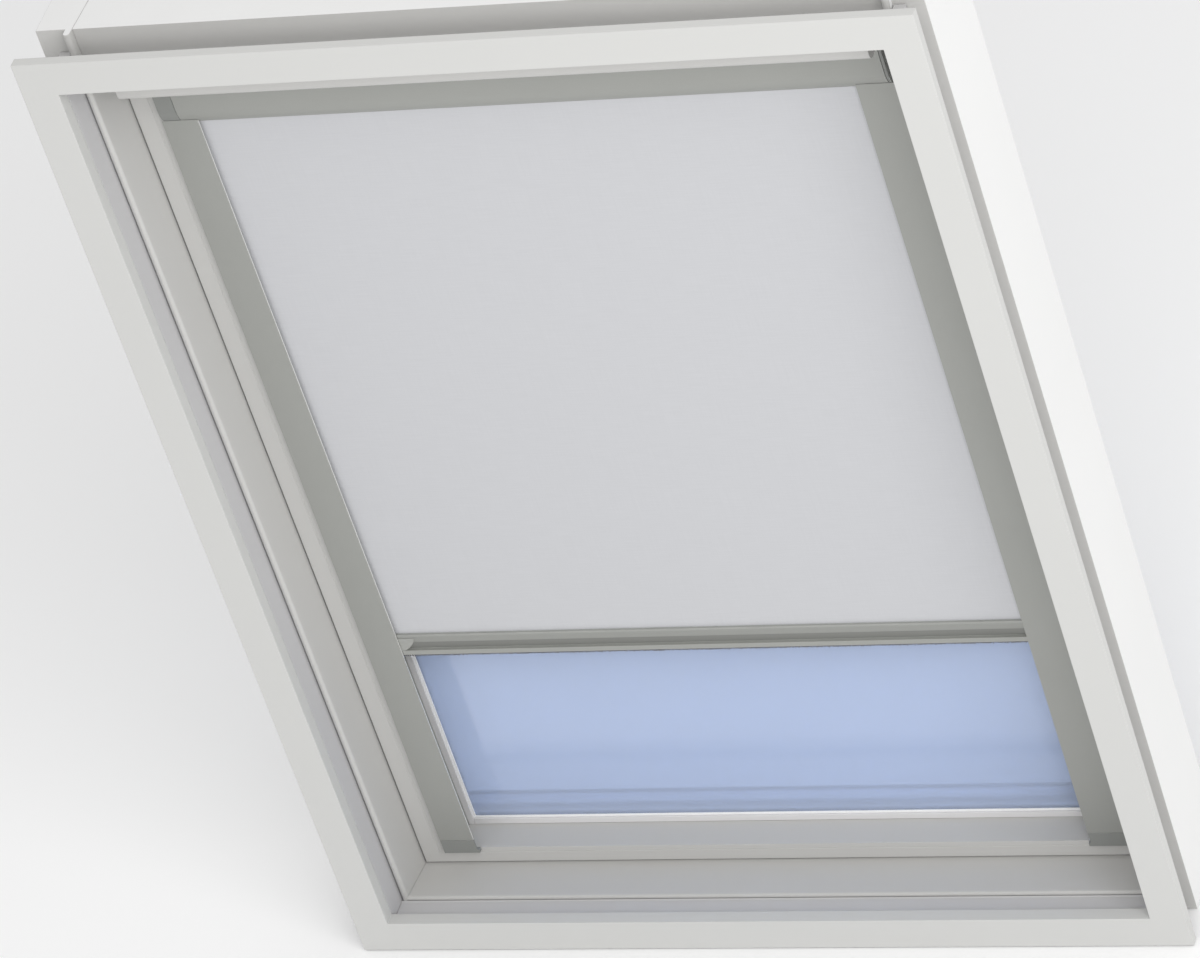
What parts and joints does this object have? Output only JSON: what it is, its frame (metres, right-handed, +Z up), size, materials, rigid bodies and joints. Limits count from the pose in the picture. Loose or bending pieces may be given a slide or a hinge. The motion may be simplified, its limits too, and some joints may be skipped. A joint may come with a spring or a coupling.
{
  "type": "roof window with blackout roller blind",
  "caption": "Centre-pivot roof window with white architrave and lining, fitted with a grey roller blind that runs in side rails, its bottom bar part of the way down.",
  "frame": {"origin": "middle of the frame's flat bottom face, which is the sill face that is held by the roof opening", "axes": "+X to the right as seen from the room, +Y from the room to the outside, +Z up the slope; in a roof the whole part is leaned back about X by the roof's pitch, with the room side facing down"},
  "size_m": [0.753, 0.139, 0.9785],
  "materials": {
    "architrave": "satin white paint",
    "lining": "matt white board",
    "frame_paint": "white painted timber",
    "sash_paint": "white painted timber",
    "glass_seal": "light rubber seal",
    "pane": "clear float glass",
    "bare_aluminium": "mill aluminium",
    "outer_cover": "dark grey coated aluminium",
    "steel_parts": "zinc-plated steel",
    "control_bar": "satin anodised aluminium",
    "blind_aluminium": "satin grey coated aluminium",
    "blind_plastic": "mid-grey moulded plastic",
    "blind_fabric": "light grey blackout cloth, flat and taut",
    "brush_pile": "dark pile strip"
  },
  "bodies": {
    "frame": {"architrave_left": "architrave", "architrave_right": "architrave", "architrave_bottom": "architrave", "architrave_top": "architrave", "lining_left": "lining", "lining_right": "lining", "lining_bottom": "lining", "lining_top": "lining", "frame_left": "frame_paint", "frame_right": "frame_paint", "frame_bottom": "frame_paint", "frame_top": "frame_paint", "pivot_bearing_left": "steel_parts", "pivot_bearing_right": "steel_parts"},
    "sash": {"sash_left": "sash_paint", "sash_right": "sash_paint", "sash_bottom": "sash_paint", "sash_top": "sash_paint", "glazing_bead_left": "sash_paint", "glazing_bead_right": "sash_paint", "glazing_bead_bottom": "sash_paint", "glazing_bead_top": "sash_paint", "glass_gasket": "glass_seal", "glass_inner": "pane", "glass_outer": "pane", "glass_spacer": "bare_aluminium", "sash_cover_left": "outer_cover", "sash_cover_right": "outer_cover", "sash_cover_bottom": "outer_cover", "sash_cover_top": "outer_cover", "pivot_plate_left": "steel_parts", "pivot_plate_right": "steel_parts", "control_bar_bracket_left": "steel_parts", "control_bar_bracket_right": "steel_parts", "cassette_body": "blind_aluminium", "cassette_cap_left": "blind_plastic", "cassette_cap_right": "blind_plastic", "cassette_bracket_left": "steel_parts", "cassette_bracket_right": "steel_parts", "bracket_screw_left": "steel_parts", "bracket_screw_right": "steel_parts", "spring_shaft": "steel_parts", "lift_spring": "steel_parts", "side_rail_left": "blind_aluminium", "side_rail_right": "blind_aluminium", "rail_foot_left": "blind_plastic", "rail_foot_right": "blind_plastic", "rail_screw_left": "steel_parts", "rail_screw_right": "steel_parts", "fabric_sheet": "blind_fabric"},
    "control_bar": {"control_bar": "control_bar"},
    "roller": {"roller_tube": "bare_aluminium", "fabric_roll": "blind_fabric", "roller_plug_left": "blind_plastic", "roller_plug_right": "blind_plastic"},
    "bottom_bar": {"bottom_bar": "blind_aluminium", "bar_end_left": "blind_plastic", "bar_end_right": "blind_plastic", "fabric_spline": "blind_plastic", "brush_strip": "brush_pile"}
  },
  "joints": [
    {"name": "sash_pivot", "type": "hinge", "parent": "frame", "child": "sash", "pos_m": [0, 0.02, 0.48245], "axis": [1, 0, 0], "range_deg": [0, 160]},
    {"name": "control_bar_pull", "type": "hinge", "parent": "sash", "child": "control_bar", "pos_m": [0, -0.0125, 0.922], "axis": [1, 0, 0], "range_deg": [0, 18]},
    {"name": "blind_slide", "type": "slide", "parent": "sash", "child": "bottom_bar", "axis": [0, 0, 1], "range_m": [-0.2248, 0.5568], "deforming": ["fabric_sheet"]},
    {"name": "roller_spin", "type": "hinge", "parent": "sash", "child": "roller", "pos_m": [0, 0.00417, 0.88], "axis": [1, 0, 0], "range_deg": [-3300, 1500]}
  ],
  "couplings": [
    {"joint": "roller_spin", "follows": "blind_slide", "rad_per_m": -98.04}
  ]
}
